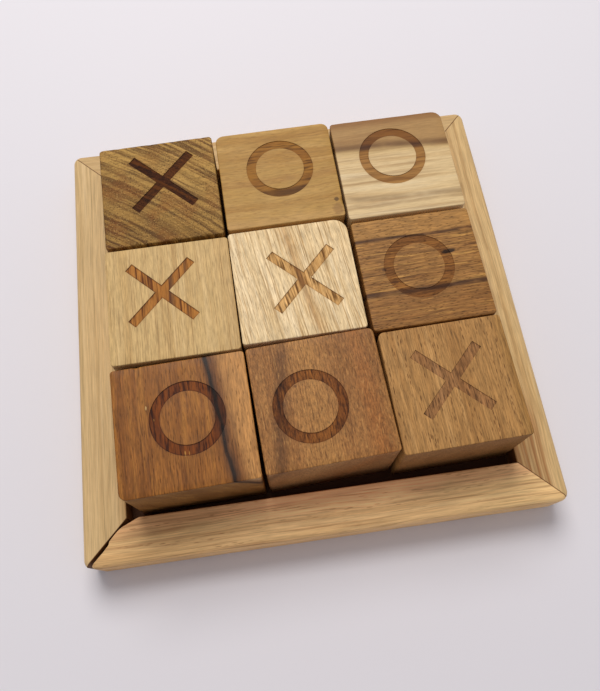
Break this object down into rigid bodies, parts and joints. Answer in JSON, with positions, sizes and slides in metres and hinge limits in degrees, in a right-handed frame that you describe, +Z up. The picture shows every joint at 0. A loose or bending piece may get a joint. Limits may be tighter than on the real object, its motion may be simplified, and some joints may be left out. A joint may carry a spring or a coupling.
{
  "type": "tic tac toe set",
  "caption": "Square mitred wooden tray with a grid of thick loose wooden blocks standing in it, each with a cross or a ring cut into its faces.",
  "frame": {"origin": "middle of the tray's underside, in the plane that the rails' feet stand on", "axes": "+Z up out of the tray, the way the blocks lift; +X to the right and +Y to the back, seen by a player who sits at the front"},
  "size_m": [0.1, 0.1, 0.024],
  "materials": {
    "rail_wood": "pale yellow-tan wood, sanded, unvarnished",
    "panel_wood": "pale thin plywood-like panel, sanded",
    "olive_brown_wood": "greyish brown wood with slanting dark bands, sanded",
    "honey_wood": "honey tan wood, grain across, sanded",
    "two_tone_wood": "brown heartwood and cream sapwood, sanded",
    "beige_wood": "light beige-tan wood, fine grain, sanded",
    "cream_wood": "very light cream wood, fine grain, sanded",
    "streaked_brown_wood": "mid brown wood with two dark streaks, sanded",
    "warm_brown_wood": "warm brown wood with a dark wavy streak, sanded",
    "mid_brown_wood": "mid brown wood, sanded",
    "tan_brown_wood": "tan-brown wood with dark pores, sanded"
  },
  "bodies": {
    "tray": {"front_rail": "rail_wood", "right_rail": "rail_wood", "back_rail": "rail_wood", "left_rail": "rail_wood", "base_panel": "panel_wood"},
    "cross_back_left_piece": {"cross_block_back_left": "olive_brown_wood"},
    "ring_back_middle_piece": {"ring_block_back_middle": "honey_wood"},
    "ring_back_right_piece": {"ring_block_back_right": "two_tone_wood"},
    "cross_middle_left_piece": {"cross_block_middle_left": "beige_wood"},
    "cross_centre_piece": {"cross_block_centre": "cream_wood"},
    "ring_middle_right_piece": {"ring_block_middle_right": "streaked_brown_wood"},
    "ring_front_left_piece": {"ring_block_front_left": "warm_brown_wood"},
    "ring_front_middle_piece": {"ring_block_front_middle": "mid_brown_wood"},
    "cross_front_right_piece": {"cross_block_front_right": "tan_brown_wood"}
  },
  "joints": [
    {"name": "cross_back_left_lift", "type": "slide", "parent": "tray", "child": "cross_back_left_piece", "axis": [0, 0, 1], "range_m": [0, 0.025]},
    {"name": "ring_back_middle_lift", "type": "slide", "parent": "tray", "child": "ring_back_middle_piece", "axis": [0, 0, 1], "range_m": [0, 0.025]},
    {"name": "ring_back_right_lift", "type": "slide", "parent": "tray", "child": "ring_back_right_piece", "axis": [0, 0, 1], "range_m": [0, 0.025]},
    {"name": "cross_middle_left_lift", "type": "slide", "parent": "tray", "child": "cross_middle_left_piece", "axis": [0, 0, 1], "range_m": [0, 0.025]},
    {"name": "cross_centre_lift", "type": "slide", "parent": "tray", "child": "cross_centre_piece", "axis": [0, 0, 1], "range_m": [0, 0.025]},
    {"name": "ring_middle_right_lift", "type": "slide", "parent": "tray", "child": "ring_middle_right_piece", "axis": [0, 0, 1], "range_m": [0, 0.025]},
    {"name": "ring_front_left_lift", "type": "slide", "parent": "tray", "child": "ring_front_left_piece", "axis": [0, 0, 1], "range_m": [0, 0.025]},
    {"name": "ring_front_middle_lift", "type": "slide", "parent": "tray", "child": "ring_front_middle_piece", "axis": [0, 0, 1], "range_m": [0, 0.025]},
    {"name": "cross_front_right_lift", "type": "slide", "parent": "tray", "child": "cross_front_right_piece", "axis": [0, 0, 1], "range_m": [0, 0.025]}
  ]
}
